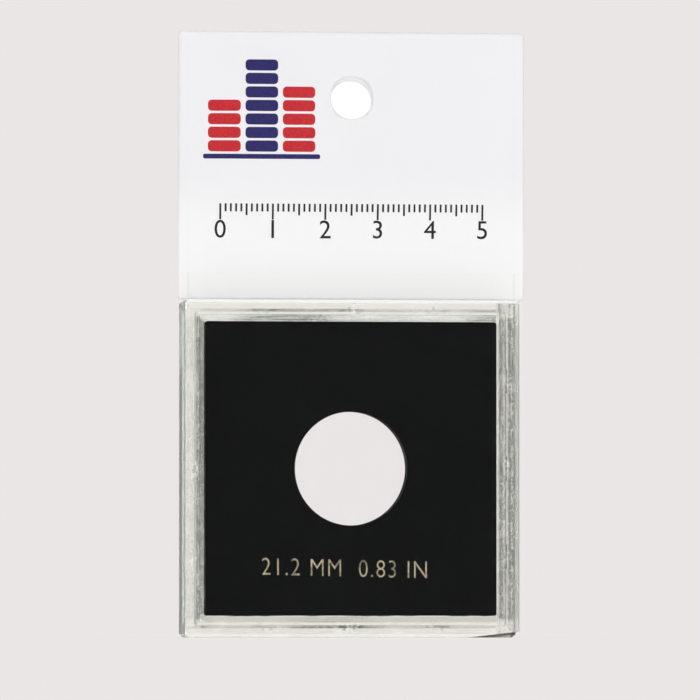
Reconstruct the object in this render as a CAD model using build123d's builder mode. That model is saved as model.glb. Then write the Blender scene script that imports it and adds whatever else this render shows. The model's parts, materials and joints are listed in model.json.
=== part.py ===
"""Clear snap-together coin case with a black insert, hung from a two-ply film header.

Millimetres, +Z up, the case's front faces -Y. The origin is the centre of the hang hole, where the
header's two plies meet. "Depth" below counts from that plane towards the front, so depth d lies at y = -d.
"""
import os

from build123d import *

# Coin and insert
COIN_DIAMETER = 21.2
COIN_CLEARANCE = 0.2  # hole over coin, on the diameter
COIN_HOLE_CHAMFER = 0.15
INSERT_THICKNESS = 3.2
INSERT_CORNER = 0.5
INSERT_SIDE_PLAY = 0.15  # insert to lip, each side
INSERT_FACE_PLAY = 0.1  # insert to each window

# Clear case
CASE_SIDE = 63.5
CASE_CORNER = 1.0
CASE_EDGE_ROUND = 0.4  # round along the outer edges of both windows
WINDOW_THICKNESS = 3.0
OUTER_WALL = 2.0
LIP_WALL = 1.7
LIP_CORNER = 0.8
LIP_CLEARANCE = 0.25  # lip to the cover's wall
LIP_TIP_CLEARANCE = 0.2  # lip to the cover's window
SEAM = 0.1  # gap between the two outer walls at the parting line
LEAD_IN = 1.0  # bevel on the lip's inner edge, which guides the insert in

# Snap bumps on the lip and the dimples they sit in, the same on all four sides
SNAP_SPACING = 16.5
SNAP_COUNT = 3
SNAP_LENGTH = 5.0
SNAP_WIDTH = 0.6  # across the wall's depth
SNAP_CLEARANCE = 0.05  # bump to the cover's wall as it slides past
SNAP_END_ANGLE = 45.0
DIMPLE_DEPTH = 0.2
DIMPLE_MARGIN = 0.15  # dimple beyond the bump, at its ends and along the depth

# Thumbnail relief at the cover's lower right corner
RELIEF_LENGTH = 10.0
RELIEF_RISE = 1.1

# Film header
FILM = 0.15
HEADER_OVERHANG = 1.25  # film beyond the case, each side
HEADER_SHIFT = 1.1  # header's middle line right of the case's, as it is stuck on by hand
HEADER_CORNER = 0.6
HEADER_RISE = 50.8  # header's top edge above the case's top edge
HANG_HOLE_DIAMETER = 8.0
HANG_HOLE_DROP = 12.5  # hole's centre below the header's top edge

# Fold line between the header and the tail behind the case
FOLD_RISE = 0.6  # fold line above the case's top edge
FOLD_GAP = 0.25  # film ends to the fold line, where the film bends

# Tail and the adhesive that holds it to the case
TAIL_LENGTH = 14.0  # below the case's top edge
ADHESIVE = 0.1
ADHESIVE_MARGIN = 1.5  # adhesive inside the case's sides, the tail's end and the case's top edge

# Heights
HEADER_TOP = HANG_HOLE_DROP
CASE_TOP = HEADER_TOP - HEADER_RISE
CASE_CENTRE = CASE_TOP - CASE_SIDE / 2
FOLD_HEIGHT = CASE_TOP + FOLD_RISE
TAIL_BOTTOM = CASE_TOP - TAIL_LENGTH

# Depths, from the case's back to its front
CAVITY_DEPTH = INSERT_THICKNESS + 2 * INSERT_FACE_PLAY
CASE_BACK = ADHESIVE
POCKET_FLOOR = CASE_BACK + WINDOW_THICKNESS
INSERT_BACK = POCKET_FLOOR + INSERT_FACE_PLAY
PARTING = POCKET_FLOOR + CAVITY_DEPTH / 2
COVER_WALL_END = PARTING + SEAM
COVER_WINDOW_BACK = POCKET_FLOOR + CAVITY_DEPTH
CASE_FRONT = COVER_WINDOW_BACK + WINDOW_THICKNESS
LIP_TIP = COVER_WINDOW_BACK - LIP_TIP_CLEARANCE
SNAP_BACK = (COVER_WALL_END + LIP_TIP - SNAP_WIDTH) / 2

# Widths
COVER_HOLLOW = CASE_SIDE - 2 * OUTER_WALL
LIP_SIDE = COVER_HOLLOW - 2 * LIP_CLEARANCE
POCKET_SIDE = LIP_SIDE - 2 * LIP_WALL
INSERT_SIDE = POCKET_SIDE - 2 * INSERT_SIDE_PLAY
COIN_HOLE = COIN_DIAMETER + COIN_CLEARANCE
BUMP_HEIGHT = LIP_CLEARANCE - SNAP_CLEARANCE
HEADER_WIDTH = CASE_SIDE + 2 * HEADER_OVERHANG


def case_plane(depth):
    """Plane parallel to the windows, centred on the case, facing the front."""
    return Plane(origin=(-HEADER_SHIFT, -depth, CASE_CENTRE), x_dir=(1, 0, 0), z_dir=(0, -1, 0))


def snap_places(reach):
    """A place for each snap, with its local Y pointing out of the side that lies reach from the centre."""
    first = -SNAP_SPACING * (SNAP_COUNT - 1) / 2
    return [
        Location((0, 0, 0), (0, 0, turn)) * Location((first + SNAP_SPACING * station, reach, 0))
        for turn in (0, 90, 180, 270)
        for station in range(SNAP_COUNT)
    ]


def film_outline(top, bottom):
    """Rounded strip of film, the header's full width, between two heights."""
    with Locations((0, (top + bottom) / 2)):
        RectangleRounded(HEADER_WIDTH, top - bottom, HEADER_CORNER)


# Rear half of the case: window, outer wall up to the parting line, and the lip inside it
with BuildPart() as back_shell:
    with BuildSketch(case_plane(CASE_BACK)):
        RectangleRounded(CASE_SIDE, CASE_SIDE, CASE_CORNER)
    extrude(amount=PARTING - CASE_BACK)
    fillet(back_shell.faces().sort_by(Axis.Y)[-1].edges(), CASE_EDGE_ROUND)
    with BuildSketch(case_plane(PARTING)):
        RectangleRounded(LIP_SIDE, LIP_SIDE, LIP_CORNER)
    extrude(amount=LIP_TIP - PARTING)
    with BuildSketch(case_plane(POCKET_FLOOR)):
        RectangleRounded(POCKET_SIDE, POCKET_SIDE, INSERT_CORNER)
    extrude(amount=LIP_TIP - POCKET_FLOOR, mode=Mode.SUBTRACT)
    lip_end = back_shell.faces().sort_by(Axis.Y)[0]
    chamfer(lip_end.inner_wires()[0].edges(), LEAD_IN)
    with BuildSketch(case_plane(SNAP_BACK)):
        with Locations(*snap_places(LIP_SIDE / 2)):
            Trapezoid(SNAP_LENGTH, 2 * BUMP_HEIGHT, SNAP_END_ANGLE)
    extrude(amount=SNAP_WIDTH)
back_shell.part.label = "back_shell"

# Front half of the case: window and the outer wall that goes round the lip
with BuildPart() as front_cover:
    with BuildSketch(case_plane(COVER_WALL_END)):
        RectangleRounded(CASE_SIDE, CASE_SIDE, CASE_CORNER)
    extrude(amount=CASE_FRONT - COVER_WALL_END)
    fillet(front_cover.faces().sort_by(Axis.Y)[0].edges(), CASE_EDGE_ROUND)
    with BuildSketch(case_plane(COVER_WALL_END)):
        RectangleRounded(COVER_HOLLOW, COVER_HOLLOW, LIP_CORNER + LIP_CLEARANCE)
    extrude(amount=COVER_WINDOW_BACK - COVER_WALL_END, mode=Mode.SUBTRACT)
    with BuildSketch(case_plane(SNAP_BACK - DIMPLE_MARGIN)):
        with Locations(*snap_places(COVER_HOLLOW / 2)):
            Trapezoid(SNAP_LENGTH + 2 * DIMPLE_MARGIN, 2 * DIMPLE_DEPTH, SNAP_END_ANGLE)
    extrude(amount=SNAP_WIDTH + 2 * DIMPLE_MARGIN, mode=Mode.SUBTRACT)
    with BuildSketch(case_plane(COVER_WALL_END)):
        with BuildLine():
            Polyline(
                (CASE_SIDE / 2 - RELIEF_LENGTH, -CASE_SIDE / 2),
                (CASE_SIDE / 2, -CASE_SIDE / 2),
                (CASE_SIDE / 2, -CASE_SIDE / 2 + RELIEF_RISE),
                close=True,
            )
        make_face()
    extrude(amount=CASE_FRONT - COVER_WALL_END, mode=Mode.SUBTRACT)
front_cover.part.label = "front_cover"

# Black plate that holds the coin
with BuildPart() as coin_insert:
    with BuildSketch(case_plane(INSERT_BACK)):
        RectangleRounded(INSERT_SIDE, INSERT_SIDE, INSERT_CORNER)
        Circle(COIN_HOLE / 2, mode=Mode.SUBTRACT)
    extrude(amount=INSERT_THICKNESS)
    insert_face = coin_insert.faces().sort_by(Axis.Y)[0]
    chamfer(insert_face.inner_wires()[0].edges(), COIN_HOLE_CHAMFER)
coin_insert.part.label = "coin_insert"

# Header plies, front and rear, meeting at the origin's plane
with BuildPart() as header_front_film:
    with BuildSketch(Plane.XZ):
        film_outline(HEADER_TOP, FOLD_HEIGHT + FOLD_GAP)
        Circle(HANG_HOLE_DIAMETER / 2, mode=Mode.SUBTRACT)
    extrude(amount=FILM)
header_front_film.part.label = "header_front_film"

with BuildPart() as header_back_film:
    with BuildSketch(Plane.XZ):
        film_outline(HEADER_TOP, FOLD_HEIGHT + FOLD_GAP)
        Circle(HANG_HOLE_DIAMETER / 2, mode=Mode.SUBTRACT)
    extrude(amount=-FILM)
header_back_film.part.label = "header_back_film"

# Rear ply's lower end, behind the case, and its adhesive
with BuildPart() as hang_tail:
    with BuildSketch(Plane.XZ):
        film_outline(FOLD_HEIGHT - FOLD_GAP, TAIL_BOTTOM)
    extrude(amount=-FILM)
hang_tail.part.label = "hang_tail"

with BuildPart() as tail_adhesive:
    adhesive_height = TAIL_LENGTH - 2 * ADHESIVE_MARGIN
    with BuildSketch(Plane.XZ):
        with Locations((-HEADER_SHIFT, CASE_TOP - TAIL_LENGTH / 2)):
            Rectangle(CASE_SIDE - 2 * ADHESIVE_MARGIN, adhesive_height)
    extrude(amount=ADHESIVE)
tail_adhesive.part.label = "tail_adhesive"

os.makedirs("parts", exist_ok=True)
export_step(back_shell.part, "parts/back_shell.step")
export_step(front_cover.part, "parts/front_cover.step")
export_step(coin_insert.part, "parts/coin_insert.step")
export_step(header_front_film.part, "parts/header_front_film.step")
export_step(header_back_film.part, "parts/header_back_film.step")
export_step(hang_tail.part, "parts/hang_tail.step")
export_step(tail_adhesive.part, "parts/tail_adhesive.step")
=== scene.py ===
"""Looks of the coin holder: clear snap case, black insert with a gold size marking, printed film header.

Metres, in the CAD frame: +Z up, the case's front faces -Y, origin at the centre of the hang hole.
"""

import json
import math
from types import SimpleNamespace

import bmesh
import bpy
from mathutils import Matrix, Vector


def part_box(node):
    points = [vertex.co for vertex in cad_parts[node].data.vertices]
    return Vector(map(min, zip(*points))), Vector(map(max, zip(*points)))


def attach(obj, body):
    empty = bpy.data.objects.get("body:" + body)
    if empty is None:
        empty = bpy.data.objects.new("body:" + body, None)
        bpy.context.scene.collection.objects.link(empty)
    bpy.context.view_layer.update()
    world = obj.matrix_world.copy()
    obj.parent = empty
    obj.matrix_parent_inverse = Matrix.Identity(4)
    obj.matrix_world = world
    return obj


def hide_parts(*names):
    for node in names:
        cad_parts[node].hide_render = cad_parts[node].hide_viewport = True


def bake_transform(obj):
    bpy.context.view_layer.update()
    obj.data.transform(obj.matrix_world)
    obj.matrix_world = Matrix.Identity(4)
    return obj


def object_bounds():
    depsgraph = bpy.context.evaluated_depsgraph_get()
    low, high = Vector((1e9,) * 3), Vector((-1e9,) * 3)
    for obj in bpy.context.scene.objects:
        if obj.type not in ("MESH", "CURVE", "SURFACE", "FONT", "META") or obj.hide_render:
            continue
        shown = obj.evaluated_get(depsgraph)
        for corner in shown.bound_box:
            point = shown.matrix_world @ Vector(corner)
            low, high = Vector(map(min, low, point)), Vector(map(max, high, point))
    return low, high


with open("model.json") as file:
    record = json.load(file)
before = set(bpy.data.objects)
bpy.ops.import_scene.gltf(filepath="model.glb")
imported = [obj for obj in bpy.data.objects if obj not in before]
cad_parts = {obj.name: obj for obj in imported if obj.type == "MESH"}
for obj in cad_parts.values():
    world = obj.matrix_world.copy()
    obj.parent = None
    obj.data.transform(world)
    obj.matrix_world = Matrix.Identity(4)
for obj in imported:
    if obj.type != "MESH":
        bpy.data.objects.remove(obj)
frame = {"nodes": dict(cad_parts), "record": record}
cad_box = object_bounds()
nodes = frame["nodes"]

MM = 0.001
TINY = 1e-8

# Places taken from the frame
header_low, header_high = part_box("header_front_film")
rear_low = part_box("header_back_film")[0]
tail_low, tail_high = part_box("hang_tail")
cover_low, cover_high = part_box("front_cover")
insert_low, insert_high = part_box("coin_insert")
shell_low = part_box("back_shell")[0]
hang_hole = next(mount for mount in frame["record"]["mounts"] if mount["name"] == "hang_hole")

FILM = header_high.y - header_low.y
HALF_WIDTH = header_high.x
HOLE_RADIUS = hang_hole["dims"]["r_mm"] * MM
FOLD_Z = (header_low.z + tail_high.z) / 2
CASE_CENTRE_X = (cover_low.x + cover_high.x) / 2
CASE_CENTRE_Z = (cover_low.z + cover_high.z) / 2
CASE_TOP_Z = cover_high.z
CASE_HALF = (cover_high.x - cover_low.x) / 2
INSERT_HALF = (insert_high.x - insert_low.x) / 2
LIP_TIP_Y = shell_low.y
SEAM_Y = cover_high.y

# Film header
PRINT_BOTTOM_Z = header_high.z - 45.6 * MM  # white ink above, clear film below
PRINT_BLUR = 0.15 * MM  # half the height over which the ink ends
UPPER_WHITE_Z = -12.0 * MM  # painted shade: the film's white is a little darker above this height
LOWER_WHITE_Z = -28.0 * MM  # and painted light: lighter below this one
FRONT_PLY_BOTTOM = CASE_TOP_Z + 0.15 * MM  # front ply hangs past the fold, down to the case
FILM_CORNER = 0.6 * MM
PLY_GAP = 0.01 * MM  # between the plies where they lie together
GRID_STEP = 1.0 * MM
HOLE_PATCH = 6.0 * MM  # half the square of mesh that closes round the hang hole
HOLE_RINGS = 5
FOLD_ROWS = tuple(FOLD_Z + step * MM for step in (-0.5, -0.3, -0.1, 0.1, 0.3, 0.5))
FLAT_RISE = 10.5 * MM  # film stays flat this far above the fold, so that it clears the case when folded over
WAVE_RISE = 14.0 * MM  # height over which the film's waves come in above that
WAVE_DEPTH = 0.5 * MM
CURL_DEPTH = 0.45 * MM  # how far the upper corners curl to the front
PLY_PUFF = 0.55 * MM  # gap between the plies in the middle of the header
PUFF_EDGE = 9.0 * MM  # the plies part over this distance in from the sides and the top edge
TOP_WELD = 0.3 * MM  # the plies are joined this far down from the top edge
PINCH_START = HOLE_RADIUS + 0.5 * MM  # the plies stay close together out to here round the hang hole
PINCH_END = HOLE_RADIUS + 7.0 * MM
PINCHED_PUFF = 0.1  # share of the gap that is left there
REAR_HOLE_SLIP = (-0.25 * MM, -0.75 * MM)  # rear ply's hole, punched a little off the front one's
WELD_INSET = 1.9 * MM  # side weld from the film's edge
WELD_HALF = 0.35 * MM

# Small creases that catch the light: x, z, half width, half height, depth
FILM_DIMPLES = (
    (11.0 * MM, -15.4 * MM, 2.2 * MM, 1.7 * MM, 0.22 * MM),
    (10.2 * MM, -25.4 * MM, 1.6 * MM, 1.2 * MM, 0.12 * MM),
    (-21.5 * MM, -34.2 * MM, 2.6 * MM, 1.3 * MM, 0.06 * MM),
)

# Painted shade of the rim's bands, deeper or lighter by how light falls through the rim, from the insert
# out:
# inner and outer edge past the insert's side, then how deep the painted shade is at the left, right, top and
# bottom
RIM_BANDS = (
    (0.05 * MM, 0.50 * MM, 0.32, 0.32, 0.90, 0.22),  # foot of the lip's bevel
    (0.50 * MM, 1.05 * MM, 0.32, 1.10, 0.75, 0.22),  # bevel
    (1.05 * MM, 1.30 * MM, 1.00, 1.00, 0.70, 0.45),  # bevel's upper edge
    (1.30 * MM, 1.80 * MM, 1.00, 0.75, 0.00, 0.00),  # lip's tip
    (1.80 * MM, 2.40 * MM, 0.38, 0.70, 0.60, 0.75),  # gap between the lip and the cover's wall
    (2.40 * MM, 2.95 * MM, 0.25, 1.30, 0.05, 0.00),  # inner part of the cover's wall
    (2.95 * MM, 3.40 * MM, 0.25, 0.95, 0.05, 0.00),  # middle of that wall
    (3.40 * MM, 3.75 * MM, 0.25, 0.00, 0.05, 0.00),  # its outer part
    (3.75 * MM, 4.05 * MM, 0.00, 0.25, 0.00, 0.00),  # its rounded edge
)
BAND_BLUR = 0.06 * MM
RIGHT_WALL_SHADE = 0.35  # painted shade on the right wall, as a share of the left one's
SNAP_SPACING = 16.5 * MM  # snap bumps along each side, where clusters of painted glints and painted shade dots sit
SNAP_REACH = 2.2 * MM  # half the length of a cluster
RELIEF_LENGTH = 10.0 * MM  # thumbnail relief at the cover's lower right corner
RELIEF_RISE = 1.1 * MM

# Printing on the header
INK = 0.02 * MM
BAR_SLICE = 0.8 * MM
STACK_CENTRE = (-17.2 * MM, -2.2 * MM)
STACK_COINS = (4, 7, 5)
COIN_WIDTH = 6.2 * MM
COIN_HEIGHT = 2.1 * MM
COIN_ROUND = 0.7 * MM
COIN_GAP = 0.45 * MM
STACK_GAP = 0.9 * MM
BASE_HEIGHT = 0.9 * MM
BASE_ROUND = 0.3 * MM
SCALE_LENGTH_MM = 50
SCALE_CENTRE_Z = -22.6 * MM
TICK_TOP_Z = SCALE_CENTRE_Z + 2.6 * MM
TICK_WIDTH = 0.36 * MM
TICK_ROUND = 0.04 * MM
TICK_SHORT = 1.5 * MM
TICK_HALF = 2.2 * MM
TICK_LONG = 3.0 * MM
DIGIT_HEIGHT = 3.4 * MM
DIGIT_Z = SCALE_CENTRE_Z - 2.2 * MM

# Gold size marking on the insert
FOIL = 0.02 * MM
MARKING = "21.2 MM  0.83 IN"
MARKING_X = CASE_CENTRE_X - 1.3 * MM
MARKING_Z = CASE_CENTRE_Z - 18.7 * MM
MARKING_WIDTH = 31.3 * MM
MARKING_HEIGHT = 3.2 * MM
MARKING_TILT = math.radians(1.2)  # falls a little to the right
MARKING_SPACING = 1.12  # between letters, against the font's own
MARKING_THINNING = 0.012  # off each stroke's edge, against the type size

# Studio: what the camera, soft light, reflections and refractions see
BACKDROP = (0.831, 0.791, 0.791, 1.0)
AMBIENT = (0.4, 0.4, 0.4, 1.0)
AMBIENT_BEHIND = (0.95, 0.94, 0.94, 1.0)
BRIGHT_STUDIO = (1.0, 0.952, 0.952, 1.0)
BRIGHT_CEILING = (1.15, 1.13, 1.1, 1.0)
DIM_SIDE = (0.22, 0.22, 0.22, 1.0)
DARK_FRONT = (0.03, 0.03, 0.03, 1.0)  # unlit side of the studio behind the camera
DARK_CORE = math.radians(20.0)
DARK_EDGE = math.radians(34.0)
FLOOR_REACH = 6.0
FLOOR_Z = cad_box[0].z - 0.02 * MM
SHADOW_NEAR = 0.10  # the floor shows its shadow out to here and runs into the backdrop's colour further out
SHADOW_FAR = 0.2
CARD_DISTANCE = 2.0
CARD_HALF = 16 * MM

# Lamps: name, place, width, depth, power
LAMPS = (
    ("lamp_left", (-0.55, -0.55, -0.02), 0.4, 0.15, 1.85),
    ("lamp_right", (0.55, -0.55, -0.02), 0.4, 0.15, 1.85),
    ("lamp_top", (0.0, -0.25, 0.55), 0.5, 0.2, 0.4),
)

# Camera
CAMERA_AZIMUTH = math.radians(-8.5)
CAMERA_DISTANCE = 2.0
CAMERA_TARGET = Vector((-0.93 * MM, -4.7 * MM, -47.68 * MM))  # middle of the picture
CAMERA_Z = cad_box[0].z + 0.5 * MM  # just above the floor, as low as the photo's view
CAMERA_ELEVATION = math.asin((CAMERA_Z - CAMERA_TARGET.z) / CAMERA_DISTANCE)
SENSOR_WIDTH = 36.0
PICTURE_SCALE = 5.31  # pixels per millimetre at the target
PICTURE_WIDTH = 700


# Shape of the film

def smooth_step(low, high, value):
    """Rises smoothly from 0 to 1 as a value goes from low to high."""
    t = min(1.0, max(0.0, (value - low) / (high - low)))
    return t * t * (3 - 2 * t)


def film_freedom(z):
    """How freely the film waves at a height: not at all near the fold."""
    return smooth_step(FOLD_Z + FLAT_RISE, FOLD_Z + FLAT_RISE + WAVE_RISE, z)


def film_lean(x, z):
    """How far the film stands forward of its flat plane: slow waves and curled upper corners."""
    across = x / HALF_WIDTH
    up = (z - FOLD_Z) / (header_high.z - FOLD_Z)
    wave = 0.5 + 0.5 * math.sin(2.1 * across + 2.6 * up - 0.4)
    curl = across * across * up * up
    return film_freedom(z) * (WAVE_DEPTH * wave + CURL_DEPTH * curl)


def ply_puff(x, z):
    """Extra gap between the plies: none at the welds, the top edge and the fold, little round the hole."""
    inside = 1.0 - smooth_step(HALF_WIDTH - PUFF_EDGE, HALF_WIDTH - WELD_INSET, abs(x))
    below_top = smooth_step(TOP_WELD, PUFF_EDGE, header_high.z - z)
    from_hole = smooth_step(PINCH_START, PINCH_END, math.hypot(x, z))
    pinch = PINCHED_PUFF + (1.0 - PINCHED_PUFF) * from_hole
    return PLY_PUFF * inside * below_top * film_freedom(z) * pinch


def dimples(x, z):
    """Creases in the front ply, as soft tilted hollows."""
    hollow = 0.0
    for centre_x, centre_z, half_width, half_height, depth in FILM_DIMPLES:
        u = (x - centre_x) / half_width
        v = (z - centre_z) / half_height
        hollow += depth * math.exp(-(u * u + v * v)) * math.cos(2.4 * (u + 0.6 * v))
    return hollow


def rear_front_y(x, z):
    """Front surface of the rear ply."""
    return rear_low.y - film_lean(x, z)


def front_front_y(x, z):
    """Front surface of the front ply."""
    return header_low.y - film_lean(x, z) - ply_puff(x, z) - dimples(x, z)


# Node helpers

def new_material(name):
    """A material with an empty tree, ready for its nodes."""
    material = bpy.data.materials.new(name)
    material.use_nodes = True
    material.node_tree.nodes.clear()
    return material


def add(tree, kind, inputs=None, **settings):
    """One node with its settings and its input values or links."""
    node = tree.nodes.new(kind)
    for key, value in settings.items():
        setattr(node, key, value)
    for key, value in (inputs or {}).items():
        if isinstance(value, bpy.types.NodeSocket):
            tree.links.new(value, node.inputs[key])
        else:
            node.inputs[key].default_value = value
    return node


def math_node(tree, operation, a, b=0.0):
    return add(tree, "ShaderNodeMath", {0: a, 1: b}, operation=operation).outputs[0]


def product(tree, first, *others):
    """Product of two or more values."""
    for other in others:
        first = math_node(tree, "MULTIPLY", first, other)
    return first


def greatest(tree, first, *others):
    """Greatest of two or more values."""
    for other in others:
        first = math_node(tree, "MAXIMUM", first, other)
    return first


def total(tree, a, b):
    return math_node(tree, "ADD", a, b)


def difference(tree, a, b):
    return math_node(tree, "SUBTRACT", a, b)


def distance(tree, value, centre):
    """How far a value lies from a centre, either way."""
    return math_node(tree, "ABSOLUTE", difference(tree, value, centre))


def above(tree, value, limit):
    """1 where a value is over a limit, 0 elsewhere."""
    return math_node(tree, "GREATER_THAN", value, limit)


def below(tree, value, limit):
    """1 where a value is under a limit, 0 elsewhere."""
    return math_node(tree, "LESS_THAN", value, limit)


def ramp(tree, value, low, high, out_low=0.0, out_high=1.0):
    """Smooth map of a value from one range to another."""
    node = add(
        tree,
        "ShaderNodeMapRange",
        {"Value": value, "From Min": low, "From Max": high, "To Min": out_low, "To Max": out_high},
        interpolation_type="SMOOTHSTEP",
    )
    return node.outputs["Result"]


def noise(tree, vector, scale, detail=2.0, roughness=0.5):
    node = add(
        tree,
        "ShaderNodeTexNoise",
        {"Vector": vector, "Scale": scale, "Detail": detail, "Roughness": roughness},
    )
    return node.outputs["Fac"]


def float_mix(tree, factor, a, b):
    return add(tree, "ShaderNodeMix", {"Factor": factor, "A": a, "B": b}, data_type="FLOAT").outputs[0]


def mix_colour(tree, factor, a, b):
    node = add(tree, "ShaderNodeMix", data_type="RGBA")
    for socket, value in ((node.inputs[0], factor), (node.inputs[6], a), (node.inputs[7], b)):
        if isinstance(value, bpy.types.NodeSocket):
            tree.links.new(value, socket)
        else:
            socket.default_value = value
    return node.outputs[2]


def mix_shader(tree, factor, a, b):
    return add(tree, "ShaderNodeMixShader", {0: factor, 1: a.outputs[0], 2: b.outputs[0]})


def object_place(tree):
    """Object coordinates as one vector."""
    return add(tree, "ShaderNodeTexCoord").outputs["Object"]


def split_xyz(tree, vector):
    outputs = add(tree, "ShaderNodeSeparateXYZ", {"Vector": vector}).outputs
    return outputs["X"], outputs["Y"], outputs["Z"]


def stretched(tree, place, scale):
    return add(tree, "ShaderNodeMapping", {"Vector": place, "Scale": scale}).outputs["Vector"]


def bump(tree, height, strength, distance_m):
    inputs = {"Height": height, "Strength": strength, "Distance": distance_m}
    return add(tree, "ShaderNodeBump", inputs).outputs["Normal"]


def output(tree, shader):
    add(tree, "ShaderNodeOutputMaterial", {"Surface": shader.outputs[0]})


# Clear polystyrene

def wall_share(tree):
    """1 on walls, 0 on faces that look to the front or back."""
    true_normal = add(tree, "ShaderNodeNewGeometry").outputs["True Normal"]
    own_normal = add(
        tree,
        "ShaderNodeVectorTransform",
        {"Vector": true_normal},
        vector_type="NORMAL",
        convert_from="WORLD",
        convert_to="OBJECT",
    ).outputs["Vector"]
    facing = split_xyz(tree, own_normal)[1]
    return ramp(tree, math_node(tree, "ABSOLUTE", facing), 0.9, 0.5)


def rim_places(tree):
    """Where a point lies in the case, as values for the parts of the material below."""
    at = SimpleNamespace(place=object_place(tree))
    at.x, at.y, at.z = split_xyz(tree, at.place)
    from_side = distance(tree, at.x, CASE_CENTRE_X)
    from_level = distance(tree, at.z, CASE_CENTRE_Z)
    at.reach = greatest(tree, from_side, from_level)
    at.into_corner = math_node(tree, "MINIMUM", from_side, from_level)
    at.rim = ramp(tree, at.reach, INSERT_HALF - 0.2 * MM, INSERT_HALF + 0.3 * MM)
    at.upright = above(tree, from_side, from_level)
    at.right_side = above(tree, at.x, CASE_CENTRE_X)
    at.upper_side = above(tree, at.z, CASE_CENTRE_Z)

    # The right side's bands run straight through its corners
    right_strip = product(tree, at.right_side, above(tree, from_side, INSERT_HALF))
    at.band_upright = greatest(tree, at.upright, right_strip)
    at.band_reach = float_mix(tree, at.band_upright, from_level, from_side)

    at.wall = wall_share(tree)
    outermost = ramp(tree, at.reach, CASE_HALF - 0.1 * MM, CASE_HALF - 0.02 * MM)
    at.outer_side = product(tree, at.upright, outermost)
    past_tip = above(tree, at.y, LIP_TIP_Y - 0.4 * MM)
    before_seam = below(tree, at.y, SEAM_Y + 0.3 * MM)
    at.inner_face = product(tree, past_tip, before_seam)
    return at


def rim_wear(tree, at, streaks, grain):
    """Scuffed and streaky surface of the rim's walls: its normal and its roughness."""
    patches = ramp(tree, noise(tree, at.place, 260.0, 2.0), 0.4, 0.6)
    specks = ramp(tree, noise(tree, at.place, 2300.0, 2.0), 0.62, 0.7)
    height = total(tree, streaks, product(tree, specks, 0.8))
    height = float_mix(tree, at.outer_side, height, product(tree, grain, 2.0))

    outer_edge = ramp(tree, at.reach, CASE_HALF - 0.6 * MM, CASE_HALF - 0.4 * MM)
    level_wall = product(tree, difference(tree, 1.0, outer_edge), 0.25)
    on_wall = product(tree, at.wall, greatest(tree, at.upright, level_wall))
    on_face = product(tree, at.inner_face, product(tree, patches, 0.2))
    worn = product(tree, at.rim, greatest(tree, on_wall, on_face))
    normal = bump(tree, product(tree, height, worn), 0.7, 0.16 * MM)
    return normal, ramp(tree, worn, 0.0, 1.0, 0.015, 0.42)


def band_shade(tree, at, streaks):
    """Painted shade: grey bands of the lip, its bevel and the cover's wall round the insert, broken up by
    streaks.
    """
    shade = 0.0
    for inner, outer, at_left, at_right, at_top, at_bottom in RIM_BANDS:
        start = ramp(tree, at.band_reach, INSERT_HALF + inner - BAND_BLUR, INSERT_HALF + inner + BAND_BLUR)
        stop = ramp(tree, at.band_reach, INSERT_HALF + outer + BAND_BLUR, INSERT_HALF + outer - BAND_BLUR)
        upright_depth = float_mix(tree, at.right_side, at_left, at_right)
        level_depth = float_mix(tree, at.upper_side, at_bottom, at_top)
        depth = float_mix(tree, at.band_upright, level_depth, upright_depth)
        shade = greatest(tree, shade, product(tree, start, stop, depth))

    fine = noise(tree, at.place, 2600.0, 2.0, 0.6)
    flow = ramp(tree, total(tree, streaks, fine), 1.2, 0.8, 0.5, 1.1)
    # The painted shade varies slowly along the top and bottom and grows lighter into the corners
    slow = ramp(tree, noise(tree, at.place, 42.0, 1.0), 0.4, 0.6, 0.45, 1.25)
    uneven = float_mix(tree, at.upright, slow, 1.0)
    corner_fade = ramp(tree, at.into_corner, INSERT_HALF + 0.3 * MM, INSERT_HALF + 1.2 * MM, 1.0, 0.4)
    return product(tree, shade, flow, uneven, corner_fade, at.inner_face)


def snap_glints(tree, at):
    """Painted shade and painted glints: dark and white dots where the snap bumps sit in the rim."""
    middle_snap = ramp(tree, at.into_corner, SNAP_REACH, 0.5 * SNAP_REACH)
    from_snap = distance(tree, at.into_corner, SNAP_SPACING)
    outer_snap = ramp(tree, from_snap, SNAP_REACH, 0.5 * SNAP_REACH, 0.0, 0.6)
    start = ramp(tree, at.reach, INSERT_HALF + 1.3 * MM, INSERT_HALF + 1.6 * MM)
    stop = ramp(tree, at.reach, INSERT_HALF + 3.0 * MM, INSERT_HALF + 2.5 * MM)
    snap = product(tree, greatest(tree, middle_snap, outer_snap), start, stop, at.inner_face)
    dots = noise(tree, at.place, 1300.0, 2.0)
    # Dark dots are painted shade, white dots are painted glints
    dark = product(tree, snap, ramp(tree, dots, 0.54, 0.62, 0.0, 0.7))
    white = product(tree, snap, ramp(tree, dots, 0.46, 0.38, 0.0, 0.8))
    return dark, white


def relief_wedge(tree, at):
    """Painted shadow: a dark wedge under the cover's thumbnail relief, at the seam."""
    along = difference(tree, at.x, cover_high.x - RELIEF_LENGTH)
    edge_z = total(tree, product(tree, along, RELIEF_RISE / RELIEF_LENGTH), cover_low.z)
    under_edge = difference(tree, edge_z, at.z)
    start = ramp(tree, under_edge, -0.1 * MM, 0.1 * MM)
    fade = ramp(tree, under_edge, 0.9 * MM, 0.45 * MM, 0.6, 1.0)
    at_seam = below(tree, distance(tree, at.y, SEAM_Y + 0.8 * MM), 0.75 * MM)
    return product(tree, start, fade, at_seam)


def moulded_edge(tree, at):
    """Painted highlight: a white line along the upper and lower edges of the cover's face."""
    start = ramp(tree, at.reach, CASE_HALF - 0.75 * MM, CASE_HALF - 0.55 * MM)
    stop = ramp(tree, at.reach, CASE_HALF, CASE_HALF - 0.15 * MM)
    front = below(tree, at.y, cover_low.y + 0.5 * MM)
    return product(tree, start, stop, front, difference(tree, 1.0, at.upright))


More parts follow.
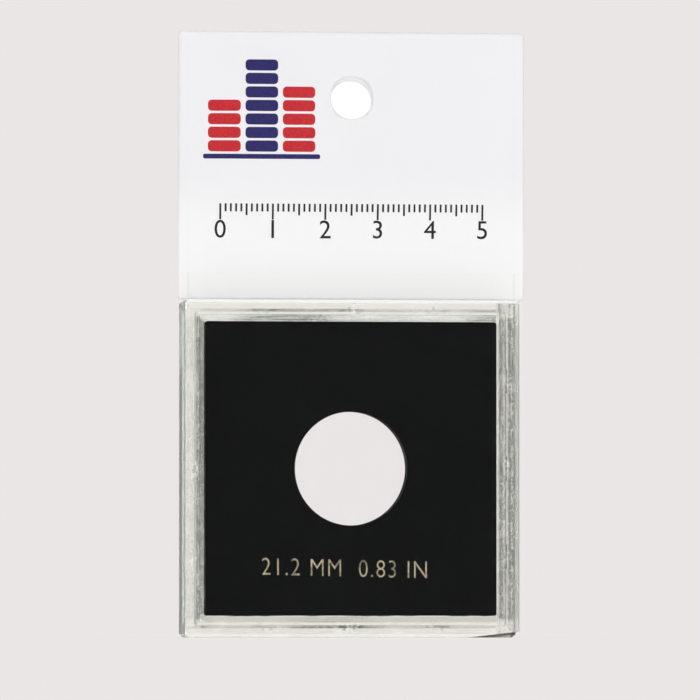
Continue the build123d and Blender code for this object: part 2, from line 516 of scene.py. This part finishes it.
def styrene_material():
    """Clear polystyrene: polished windows, and a rim with flow streaks, scuffs and specks from the mould,
    with painted shade, glints and highlights.
    """
    material = new_material("clear_styrene")
    tree = material.node_tree
    at = rim_places(tree)
    along_z = noise(tree, stretched(tree, at.place, (1.0, 1.0, 0.16)), 2100.0, 3.0, 0.65)
    along_x = noise(tree, stretched(tree, at.place, (0.08, 1.0, 1.0)), 2100.0, 3.0, 0.6)
    streaks = float_mix(tree, at.band_upright, along_x, along_z)
    grain = noise(tree, at.place, 1000.0, 3.0, 0.65)
    normal, rough = rim_wear(tree, at, streaks, grain)

    painted_shade_dots, painted_glint_dots = snap_glints(tree, at)
    bands = greatest(tree, difference(tree, band_shade(tree, at, streaks), painted_glint_dots), painted_shade_dots)
    # Painted shade on the outer side walls, mottled, and weaker on the right wall
    mottle = ramp(tree, grain, 0.6, 0.4, 0.6, 1.0)
    side_shade_share = float_mix(tree, at.right_side, 1.0, RIGHT_WALL_SHADE)
    side_shade = product(tree, mottle, at.outer_side, at.wall, side_shade_share)
    # Painted shadow under the thumbnail relief, nearly black in the colour below
    wedge = relief_wedge(tree, at)
    # All painted shade of the rim together, greyed by this colour, and nearly black in the wedge
    shade = greatest(tree, bands, side_shade, wedge)
    painted_shade_tint = mix_colour(tree, wedge, (0.285, 0.305, 0.285, 1.0), (0.02, 0.017, 0.014, 1.0))
    clear = mix_colour(tree, at.rim, (0.998, 0.998, 0.998, 1.0), (0.972, 0.985, 0.952, 1.0))
    # Painted highlights: the edge line and the white dots turn the plastic white and less see-through
    white = greatest(tree, moulded_edge(tree, at), product(tree, painted_glint_dots, 0.5))

    plastic = add(
        tree,
        "ShaderNodeBsdfPrincipled",
        {
            "Base Color": mix_colour(tree, shade, clear, painted_shade_tint),
            "Roughness": rough,
            "IOR": 1.59,
            "Transmission Weight": ramp(tree, white, 0.0, 1.0, 1.0, 0.15),
            "Normal": normal,
        },
    )
    lit_through = add(tree, "ShaderNodeBsdfTransparent", {"Color": (0.93, 0.93, 0.92, 1.0)})
    shadow = add(tree, "ShaderNodeLightPath").outputs["Is Shadow Ray"]
    output(tree, mix_shader(tree, shadow, plastic, lit_through))
    return material


# Other materials

def plate_material():
    """Matte black sheet with a fine tooth and a little dust."""
    material = new_material("black_plate")
    tree = material.node_tree
    place = object_place(tree)
    cloud = noise(tree, place, 90.0, 3.0)
    tooth = noise(tree, place, 5200.0, 2.0)
    dust = ramp(tree, noise(tree, place, 1400.0, 1.0), 0.745, 0.78)
    base = mix_colour(tree, cloud, (0.0020, 0.0026, 0.0023, 1.0), (0.0038, 0.0046, 0.0042, 1.0))
    shader = add(
        tree,
        "ShaderNodeBsdfPrincipled",
        {
            "Base Color": mix_colour(tree, product(tree, dust, 0.5), base, (0.045, 0.048, 0.046, 1.0)),
            "Roughness": ramp(tree, tooth, 0.3, 0.7, 0.5, 0.68),
            "Specular IOR Level": 0.05,
            "Normal": bump(tree, tooth, 0.25, 0.03 * MM),
        },
    )
    output(tree, shader)
    return material


def foil_material():
    """Pale gold hot-stamped foil, worn thin in places."""
    material = new_material("gold_foil")
    tree = material.node_tree
    place = object_place(tree)
    wear = noise(tree, place, 1900.0, 3.0, 0.65)
    faded = noise(tree, place, 420.0, 2.0)
    kept = ramp(tree, product(tree, total(tree, wear, faded), 0.5), 0.38, 0.58)
    shader = add(
        tree,
        "ShaderNodeBsdfPrincipled",
        {
            "Base Color": mix_colour(tree, kept, (0.20, 0.18, 0.13, 1.0), (0.60, 0.52, 0.35, 1.0)),
            "Metallic": 0.35,
            "Roughness": ramp(tree, wear, 0.3, 0.7, 0.55, 0.38),
            "Normal": bump(tree, wear, 0.3, 0.02 * MM),
        },
    )
    output(tree, shader)
    return material


def film_material():
    """Film header with welded sides: white ink above, milky film below it, clear film behind the case;
    painted shade and light in its white.
    """
    material = new_material("header_film")
    tree = material.node_tree
    place = object_place(tree)
    x, _, z = split_xyz(tree, place)
    ragged = product(tree, difference(tree, noise(tree, place, 300.0), 0.5), 0.25 * MM)
    level = total(tree, z, ragged)
    printed = ramp(tree, level, PRINT_BOTTOM_Z - PRINT_BLUR, PRINT_BOTTOM_Z + PRINT_BLUR)

    from_middle = math_node(tree, "ABSOLUTE", x)
    from_weld = distance(tree, from_middle, HALF_WIDTH - WELD_INSET)
    under_ink = ramp(tree, printed, 0.0, 1.0, 1.0, 0.2)
    weld = product(tree, ramp(tree, from_weld, WELD_HALF, 0.0), under_ink)
    cloud = noise(tree, place, 45.0, 3.0)
    ripple = noise(tree, stretched(tree, place, (1.0, 1.0, 0.6)), 160.0, 2.0)

    # Painted shade and light: the white is darker high up, lighter low down, and lightest below the ink by
    # the case
    upper = mix_colour(tree, cloud, (0.86, 0.87, 0.89, 1.0), (0.89, 0.895, 0.915, 1.0))
    lower = mix_colour(tree, cloud, (0.955, 0.965, 0.97, 1.0), (0.975, 0.98, 0.985, 1.0))
    white = mix_colour(tree, ramp(tree, z, UPPER_WHITE_Z, LOWER_WHITE_Z), upper, lower)
    white = mix_colour(tree, printed, (0.99, 0.995, 0.995, 1.0), white)
    white = mix_colour(tree, product(tree, weld, 0.35), white, (0.80, 0.81, 0.82, 1.0))
    height = total(tree, ripple, product(tree, weld, 0.6))
    milky = ramp(tree, z, CASE_TOP_Z, FRONT_PLY_BOTTOM, 0.04, 0.97)
    shader = add(
        tree,
        "ShaderNodeBsdfPrincipled",
        {
            "Base Color": white,
            "Roughness": ramp(tree, cloud, 0.3, 0.7, 0.34, 0.46),
            "IOR": 1.49,
            "Alpha": greatest(tree, printed, milky),
            "Normal": bump(tree, height, 0.25, 0.25 * MM),
        },
    )
    output(tree, shader)
    return material


def adhesive_material():
    """Clear tacky layer with trapped bubbles."""
    material = new_material("clear_adhesive")
    tree = material.node_tree
    bubbles = ramp(tree, noise(tree, object_place(tree), 1500.0, 2.0), 0.6, 0.68)
    shader = add(
        tree,
        "ShaderNodeBsdfPrincipled",
        {
            "Base Color": mix_colour(tree, bubbles, (0.88, 0.88, 0.85, 1.0), (0.95, 0.95, 0.94, 1.0)),
            "Roughness": 0.3,
            "Alpha": ramp(tree, bubbles, 0.0, 1.0, 0.06, 0.13),
        },
    )
    output(tree, shader)
    return material


def ink_material(name, colour, darker):
    """Printed ink with a slightly uneven lay-down."""
    material = new_material(name)
    tree = material.node_tree
    grain = noise(tree, object_place(tree), 2400.0, 3.0, 0.6)
    shader = add(
        tree,
        "ShaderNodeBsdfPrincipled",
        {
            "Base Color": mix_colour(tree, ramp(tree, grain, 0.35, 0.65), darker, colour),
            "Roughness": ramp(tree, grain, 0.3, 0.7, 0.38, 0.5),
        },
    )
    output(tree, shader)
    return material


def floor_material():
    """Pale floor that keeps the shadow near the holder and runs into the backdrop's colour further out."""
    material = new_material("pale_floor")
    tree = material.node_tree
    diffuse = add(tree, "ShaderNodeBsdfDiffuse", {"Color": BACKDROP})
    glow = add(tree, "ShaderNodeEmission", {"Color": BACKDROP, "Strength": 1.0})
    away = add(tree, "ShaderNodeVectorMath", {0: object_place(tree)}, operation="LENGTH").outputs["Value"]
    plain = ramp(tree, away, SHADOW_NEAR, SHADOW_FAR, 0.8, 1.0)
    path = add(tree, "ShaderNodeLightPath").outputs
    seen = greatest(tree, path["Is Camera Ray"], path["Is Transmission Ray"])
    output(tree, mix_shader(tree, product(tree, seen, plain), diffuse, glow))
    return material


def card_material():
    """White to the camera and clear to everything else, so that the card lights nothing."""
    material = new_material("white_card")
    tree = material.node_tree
    seen = add(tree, "ShaderNodeLightPath").outputs["Is Camera Ray"]
    white = add(tree, "ShaderNodeEmission", {"Color": (1.0, 1.0, 1.0, 1.0)})
    nothing = add(tree, "ShaderNodeBsdfTransparent")
    output(tree, mix_shader(tree, seen, nothing, white))
    return material


# Mesh helpers

def add_object(name, mesh, material):
    """A mesh as an object of the scene, with its material."""
    piece = bpy.data.objects.new(name, mesh)
    bpy.context.scene.collection.objects.link(piece)
    mesh.materials.clear()
    mesh.materials.append(material)
    return piece


def finished_mesh(name, mesh):
    """Turns a working mesh into the data of an object."""
    data = bpy.data.meshes.new(name)
    mesh.to_mesh(data)
    mesh.free()
    return data


def flat_square(name, half, corner):
    """A flat square, from half its side and a function that puts each corner in its place."""
    data = bpy.data.meshes.new(name)
    turns = ((-half, -half), (half, -half), (half, half), (-half, half))
    corners = [corner(side, end) for side, end in turns]
    data.from_pydata(corners, [], [(0, 1, 2, 3)])
    return data


def spread(low, high, step, extra=()):
    """Set of even stations from low to high, about a step apart, with extra ones put in."""
    count = max(1, round((high - low) / step))
    even = [low + (high - low) * i / count for i in range(count + 1)]
    kept = [v for v in even[1:-1] if all(abs(v - e) > 0.3 * step for e in extra)]
    return {round(v, 9) for v in (low, *kept, *extra, high)}


def on_patch(x, z):
    """Whether a grid point lies on the edge of the square round the hang hole."""
    return abs(max(abs(x), abs(z)) - HOLE_PATCH) < TINY


def give_thickness(mesh, thickness):
    """Closes an open sheet into a thin solid by copying it straight back and walling its edges."""
    fronts = list(mesh.faces)
    borders = [e for e in mesh.edges if e.is_boundary]
    twin = {v: mesh.verts.new(v.co + Vector((0, thickness, 0))) for v in list(mesh.verts)}
    for face in fronts:
        mesh.faces.new([twin[v] for v in reversed(face.verts)])
    for edge in borders:
        a, b = edge.verts
        mesh.faces.new((a, b, twin[b], twin[a]))
    bmesh.ops.recalc_face_normals(mesh, faces=mesh.faces)


def film_stations(bottom, fold_rows):
    """Columns and rows of a ply's grid, with lines along the square round the hang hole."""
    top = header_high.z
    patch = spread(-HOLE_PATCH, HOLE_PATCH, GRID_STEP)
    left = spread(-HALF_WIDTH, -HOLE_PATCH, GRID_STEP, (-HALF_WIDTH + FILM_CORNER,))
    right = spread(HOLE_PATCH, HALF_WIDTH, GRID_STEP, (HALF_WIDTH - FILM_CORNER,))
    lower = spread(bottom, -HOLE_PATCH, GRID_STEP, (bottom + FILM_CORNER, *fold_rows))
    upper = spread(HOLE_PATCH, top, GRID_STEP, (top - FILM_CORNER,))
    return sorted(left | patch | right), sorted(lower | patch | upper)


def film_grid(mesh, vertex, columns, rows):
    """Fills a ply outside that square, its corners eased, and gives the vertices along the square."""
    ease = FILM_CORNER * (1 - math.sqrt(0.5))
    grid = {}
    for i, x in enumerate(columns):
        for j, z in enumerate(rows):
            if max(abs(x), abs(z)) < HOLE_PATCH - TINY:
                continue
            corner = i in (0, len(columns) - 1) and j in (0, len(rows) - 1)
            pull = ease if corner else 0.0
            grid[i, j] = vertex(x - math.copysign(pull, x), z - math.copysign(pull, z))
    for i in range(len(columns) - 1):
        for j in range(len(rows) - 1):
            middle_x = (columns[i] + columns[i + 1]) / 2
            middle_z = (rows[j] + rows[j + 1]) / 2
            if abs(middle_x) < HOLE_PATCH and abs(middle_z) < HOLE_PATCH:
                continue
            keys = ((i, j), (i + 1, j), (i + 1, j + 1), (i, j + 1))
            mesh.faces.new([grid[key] for key in keys])
    return [v for key, v in grid.items() if on_patch(columns[key[0]], rows[key[1]])]


def close_round_hole(mesh, vertex, square, hole):
    """Fills a ply from that square in to the hang hole with rings of faces."""
    hole_x, hole_z = hole
    square.sort(key=lambda v: math.atan2(v.co.z, v.co.x))
    ring = square
    for step in range(1, HOLE_RINGS + 1):
        share = step / HOLE_RINGS
        inner = []
        for v in square:
            angle = math.atan2(v.co.z, v.co.x)
            goal_x = hole_x + HOLE_RADIUS * math.cos(angle)
            goal_z = hole_z + HOLE_RADIUS * math.sin(angle)
            inner.append(vertex(v.co.x + (goal_x - v.co.x) * share, v.co.z + (goal_z - v.co.z) * share))
        for k in range(len(ring)):
            after = (k + 1) % len(ring)
            mesh.faces.new((ring[k], inner[k], inner[after], ring[after]))
        ring = inner


def film_sheet(name, bottom, surface_y, hole, fold_rows):
    """A film ply as a closed thin solid with a round hole, on a surface given as y at each x and z."""
    mesh = bmesh.new()

    def vertex(x, z):
        return mesh.verts.new((x, surface_y(x, z), z))

    columns, rows = film_stations(bottom, fold_rows)
    square = film_grid(mesh, vertex, columns, rows)
    close_round_hole(mesh, vertex, square, hole)
    give_thickness(mesh, FILM - PLY_GAP)
    data = finished_mesh(name, mesh)
    for polygon in data.polygons:
        polygon.use_smooth = abs(polygon.normal.y) > 0.5
    return data


def rounded_bar(mesh, centre_x, centre_z, width, height, radius, thickness):
    """Adds a flat bar with round corners, raised to the front and sliced so that it can follow the film."""
    ends = [radius * (1 - math.cos(math.radians(turn))) for turn in (0, 30, 60, 90)]
    left = [step - width / 2 for step in ends]
    right = [width / 2 - step for step in reversed(ends)]
    stations = sorted(spread(left[-1], right[0], BAR_SLICE) | set(left) | set(right))
    stations = [x for k, x in enumerate(stations) if k == 0 or x - stations[k - 1] > TINY]
    layers = []
    for y in (-thickness, 0.0):
        pairs = []
        for x in stations:
            past = max(0.0, abs(x) - (width / 2 - radius))
            half = height / 2 - radius + math.sqrt(max(0.0, radius * radius - past * past))
            pairs.append([mesh.verts.new((centre_x + x, y, centre_z + side * half)) for side in (-1, 1)])
        layers.append(pairs)
    near, far = layers
    for k in range(len(stations) - 1):
        mesh.faces.new((near[k][0], near[k + 1][0], near[k + 1][1], near[k][1]))
        mesh.faces.new((far[k][1], far[k + 1][1], far[k + 1][0], far[k][0]))
        for side in (0, 1):
            mesh.faces.new((near[k][side], far[k][side], far[k + 1][side], near[k + 1][side]))
    for k in (0, -1):
        mesh.faces.new((near[k][0], near[k][1], far[k][1], far[k][0]))


def text_mesh(name, body, thickness, height, width=None, spacing=1.0, thinning=0.0):
    """Upright text facing the front as a mesh, centred; without a width it keeps the font's proportions."""
    curve = bpy.data.curves.new(name, "FONT")
    curve.body = body
    curve.extrude = 0.5
    curve.space_character = spacing
    curve.offset = -thinning
    curve.resolution_u = 4
    holder = bpy.data.objects.new(name + "_curve", curve)
    bpy.context.scene.collection.objects.link(holder)
    bpy.context.view_layer.update()
    data = bpy.data.meshes.new_from_object(holder.evaluated_get(bpy.context.evaluated_depsgraph_get()))
    bpy.data.objects.remove(holder)
    bpy.data.curves.remove(curve)
    left, bottom = (min(v.co[axis] for v in data.vertices) for axis in range(2))
    right, top = (max(v.co[axis] for v in data.vertices) for axis in range(2))
    scale_z = height / (top - bottom)
    scale_x = width / (right - left) if width else scale_z
    for v in data.vertices:
        flat_x = (v.co.x - (left + right) / 2) * scale_x
        flat_z = (v.co.y - (bottom + top) / 2) * scale_z
        v.co = (flat_x, -thickness * (v.co.z + 0.5), flat_z)
    return data


def lay_on_film(data):
    """Moves flat printing, drawn at y 0 and less, onto the front ply."""
    for v in data.vertices:
        v.co.y += front_front_y(v.co.x, v.co.z)


# Header film

film = film_material()

front_mesh = film_sheet("header_front_ply", FRONT_PLY_BOTTOM, front_front_y, (0.0, 0.0), ())
front_ply = add_object("header_front_ply", front_mesh, film)
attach(front_ply, "header")
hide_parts("header_front_film")

rear_mesh = film_sheet("header_rear_ply", tail_low.z, rear_front_y, REAR_HOLE_SLIP, FOLD_ROWS)
rear_ply = add_object("header_rear_ply", rear_mesh, film)
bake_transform(rear_ply)
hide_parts("header_back_film", "hang_tail")


# Printing on the header: coin stacks and a millimetre scale

def stack_x(index):
    """Middle of a coin stack."""
    return STACK_CENTRE[0] + (index - (len(STACK_COINS) - 1) / 2) * (COIN_WIDTH + STACK_GAP)


def stack_floor():
    """Height that the stacks stand on, with the tallest and the base centred together."""
    tallest = max(STACK_COINS) * (COIN_HEIGHT + COIN_GAP) + BASE_HEIGHT
    return STACK_CENTRE[1] - tallest / 2 + BASE_HEIGHT


def draw_stack(mesh, index):
    for level in range(STACK_COINS[index]):
        z = stack_floor() + COIN_GAP + COIN_HEIGHT / 2 + level * (COIN_HEIGHT + COIN_GAP)
        rounded_bar(mesh, stack_x(index), z, COIN_WIDTH, COIN_HEIGHT, COIN_ROUND, INK)


def draw_red_stacks(mesh):
    draw_stack(mesh, 0)
    draw_stack(mesh, 2)


def draw_navy_stack(mesh):
    draw_stack(mesh, 1)
    base_width = len(STACK_COINS) * (COIN_WIDTH + STACK_GAP) + STACK_GAP
    base_z = stack_floor() - BASE_HEIGHT / 2
    rounded_bar(mesh, STACK_CENTRE[0], base_z, base_width, BASE_HEIGHT, BASE_ROUND, INK)


def mark_x(mark):
    """Place of a millimetre mark."""
    return (mark - SCALE_LENGTH_MM / 2) * MM


def tick_height(mark):
    """Long at each centimetre, middling at each half, short at the rest."""
    if mark % 10 == 0:
        return TICK_LONG
    return TICK_HALF if mark % 5 == 0 else TICK_SHORT


def draw_ticks(mesh):
    for mark in range(SCALE_LENGTH_MM + 1):
        tall = tick_height(mark)
        rounded_bar(mesh, mark_x(mark), TICK_TOP_Z - tall / 2, TICK_WIDTH, tall, TICK_ROUND, INK)


def print_bars(name, draw, material):
    """A printed piece on the header from a function that draws its bars."""
    mesh = bmesh.new()
    draw(mesh)
    bmesh.ops.recalc_face_normals(mesh, faces=mesh.faces)
    data = finished_mesh(name, mesh)
    lay_on_film(data)
    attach(add_object(name, data, material), "header")


red_ink = ink_material("red_ink", (0.62, 0.022, 0.032, 1.0), (0.50, 0.016, 0.025, 1.0))
navy_ink = ink_material("navy_ink", (0.024, 0.020, 0.15, 1.0), (0.016, 0.014, 0.10, 1.0))
black_ink = ink_material("black_ink", (0.012, 0.012, 0.014, 1.0), (0.006, 0.006, 0.008, 1.0))

print_bars("print_red_stacks", draw_red_stacks, red_ink)
print_bars("print_navy_stack", draw_navy_stack, navy_ink)
print_bars("print_scale_ticks", draw_ticks, black_ink)

for number in range(SCALE_LENGTH_MM // 10 + 1):
    digit = text_mesh(f"print_scale_{number}", str(number), INK, DIGIT_HEIGHT)
    for v in digit.vertices:
        v.co.x += mark_x(number * 10)
        v.co.z += DIGIT_Z
    lay_on_film(digit)
    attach(add_object(f"print_scale_{number}", digit, black_ink), "header")

# Gold size marking on the insert

marking = text_mesh(
    "gold_size_marking", MARKING, FOIL, MARKING_HEIGHT, MARKING_WIDTH, MARKING_SPACING, MARKING_THINNING
)
for v in marking.vertices:
    v.co.z += MARKING_Z - v.co.x * math.tan(MARKING_TILT)
    v.co.x += MARKING_X
    v.co.y += insert_low.y
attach(add_object("gold_size_marking", marking, foil_material()), "insert")

# Finishes of the CAD pieces that stay

styrene = styrene_material()
for name, finish in (
    ("front_cover", styrene),
    ("back_shell", styrene),
    ("coin_insert", plate_material()),
    ("tail_adhesive", adhesive_material()),
):
    nodes[name].data.materials.clear()
    nodes[name].data.materials.append(finish)

# Floor

floor_mesh = flat_square("floor", FLOOR_REACH, lambda side, end: (side, end, FLOOR_Z))
floor = add_object("floor", floor_mesh, floor_material())


# World, lamps and camera

def studio_world():
    """Plain backdrop to the camera, soft light for matt surfaces, a studio for mirrored and bent rays."""
    world = bpy.data.worlds.new("studio")
    world.use_nodes = True
    tree = world.node_tree
    tree.nodes.clear()
    heading = add(tree, "ShaderNodeTexCoord").outputs["Generated"]

    def towards(direction):
        node = add(tree, "ShaderNodeVectorMath", {0: heading, 1: direction}, operation="DOT_PRODUCT")
        return node.outputs["Value"]

    to_front = towards((0.0, -1.0, 0.0))
    sideways = towards((1.0, 0.0, 0.0))
    dim_side = greatest(tree, ramp(tree, sideways, 0.02, -0.35), ramp(tree, sideways, 0.65, 0.85))
    ceiling = ramp(tree, towards((0.0, 0.0, 1.0)), 0.15, 0.5)
    dark_front = ramp(tree, to_front, math.cos(DARK_EDGE), math.cos(DARK_CORE))
    studio = mix_colour(tree, dim_side, BRIGHT_STUDIO, DIM_SIDE)
    studio = mix_colour(tree, ceiling, studio, BRIGHT_CEILING)
    studio = mix_colour(tree, dark_front, studio, DARK_FRONT)

    from_behind = ramp(tree, to_front, 0.1, -0.4)
    around = mix_colour(tree, from_behind, AMBIENT, AMBIENT_BEHIND)
    path = add(tree, "ShaderNodeLightPath").outputs
    ambient = mix_colour(tree, path["Is Diffuse Ray"], studio, around)
    sky = mix_colour(tree, path["Is Camera Ray"], ambient, BACKDROP)
    background = add(tree, "ShaderNodeBackground", {"Color": sky})
    add(tree, "ShaderNodeOutputWorld", {"Surface": background.outputs[0]})
    return world


def add_lamp(name, place, width, depth, power):
    """Soft rectangular lamp aimed at the middle of the holder."""
    light = bpy.data.lights.new(name, "AREA")
    light.shape = "RECTANGLE"
    light.size = width
    light.size_y = depth
    light.energy = power
    holder = bpy.data.objects.new(name, light)
    bpy.context.scene.collection.objects.link(holder)
    holder.location = place
    holder.rotation_euler = (CAMERA_TARGET - Vector(place)).to_track_quat("-Z", "Y").to_euler()
    holder.visible_glossy = False  # no hard line of the lamp in the case's rounded edges


def add_camera():
    """Camera far off, low and to the left, looking at the middle of the picture."""
    camera = bpy.data.cameras.new("camera")
    camera.sensor_width = SENSOR_WIDTH
    camera.lens = PICTURE_SCALE / MM * CAMERA_DISTANCE * SENSOR_WIDTH / PICTURE_WIDTH
    camera.clip_end = 20.0
    eye = bpy.data.objects.new("camera", camera)
    bpy.context.scene.collection.objects.link(eye)
    away = Vector(
        (
            math.sin(CAMERA_AZIMUTH) * math.cos(CAMERA_ELEVATION),
            -math.cos(CAMERA_AZIMUTH) * math.cos(CAMERA_ELEVATION),
            math.sin(CAMERA_ELEVATION),
        )
    )
    eye.location = CAMERA_TARGET + CAMERA_DISTANCE * away
    eye.rotation_euler = (-away).to_track_quat("-Z", "Y").to_euler()
    return eye


bpy.context.scene.world = studio_world()
for lamp in LAMPS:
    add_lamp(*lamp)
eye = add_camera()
bpy.context.scene.camera = eye

# White card far behind the header, seen only through the hang hole

card_mesh = flat_square("white_card", CARD_HALF, lambda side, end: (side, 0, end))
card = add_object("white_card", card_mesh, card_material())
card.location = -eye.location.normalized() * CARD_DISTANCE

bpy.context.scene.view_settings.view_transform = "Standard"
